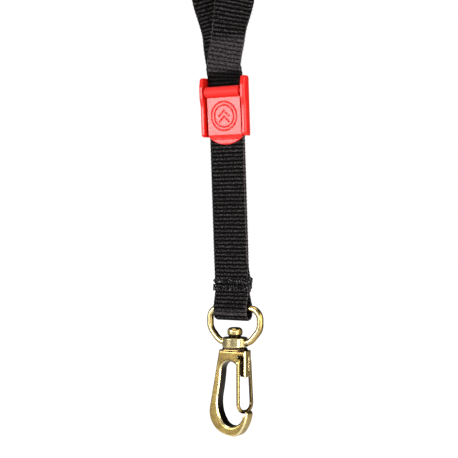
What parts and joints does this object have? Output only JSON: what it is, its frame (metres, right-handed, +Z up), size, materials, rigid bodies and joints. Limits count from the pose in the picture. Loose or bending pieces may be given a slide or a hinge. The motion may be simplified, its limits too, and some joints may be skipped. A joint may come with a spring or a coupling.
{
  "type": "webbing tether with swivel snap hook",
  "caption": "Short webbing tether: a looped strap with a cam-lock slide adjuster, folded round the eye of a swivel snap hook closed by a sprung wire gate.",
  "frame": {"origin": "inside of the crown of the webbing loop, where it hangs", "axes": "+Z up, +X across the webbing, -Y towards the front, where the adjuster's lever faces"},
  "size_m": [0.0277, 0.0231, 0.2089],
  "materials": {
    "webbing": "matt ribbed webbing",
    "thread": "matt sewing thread",
    "red_plastic": "moulded, satin gloss",
    "antique_brass": "antiqued, rubbed bright on the edges",
    "brass_wire": "antiqued drawn wire"
  },
  "bodies": {
    "strap": {"webbing_strap": "webbing", "bar_tack_lower": "thread", "bar_tack_upper": "thread"},
    "adjuster": {"buckle_frame": "red_plastic"},
    "lever": {"cam_lever": "red_plastic"},
    "ring": {"swivel_ring": "antique_brass"},
    "hook": {"hook_body": "antique_brass", "swivel_rivet": "antique_brass"},
    "gate": {"wire_gate": "brass_wire"}
  },
  "joints": [
    {"name": "adjuster_slide", "type": "slide", "parent": "strap", "child": "adjuster", "axis": [0, 0.0628, -0.998], "range_m": [0, 0.05]},
    {"name": "lever_hinge", "type": "hinge", "parent": "adjuster", "child": "lever", "pos_m": [0.0004, 0.00068, -0.06499], "axis": [-1, 0, 0], "range_deg": [0, 115]},
    {"name": "ring_swing", "type": "hinge", "parent": "strap", "child": "ring", "pos_m": [0, 0.0097, -0.15415], "axis": [1, 0, 0], "range_deg": [-110, 110]},
    {"name": "hook_swivel", "type": "hinge", "parent": "ring", "child": "hook", "pos_m": [0.00105, 0.0097, -0.17125], "axis": [0, 0, 1], "continuous": true},
    {"name": "gate_hinge", "type": "hinge", "parent": "hook", "child": "gate", "pos_m": [0.0052, 0.0097, -0.17544], "axis": [0, 1, 0], "range_deg": [0, 22], "stiffness_Nm_per_rad": 0.05, "springref_deg": -20.05}
  ]
}
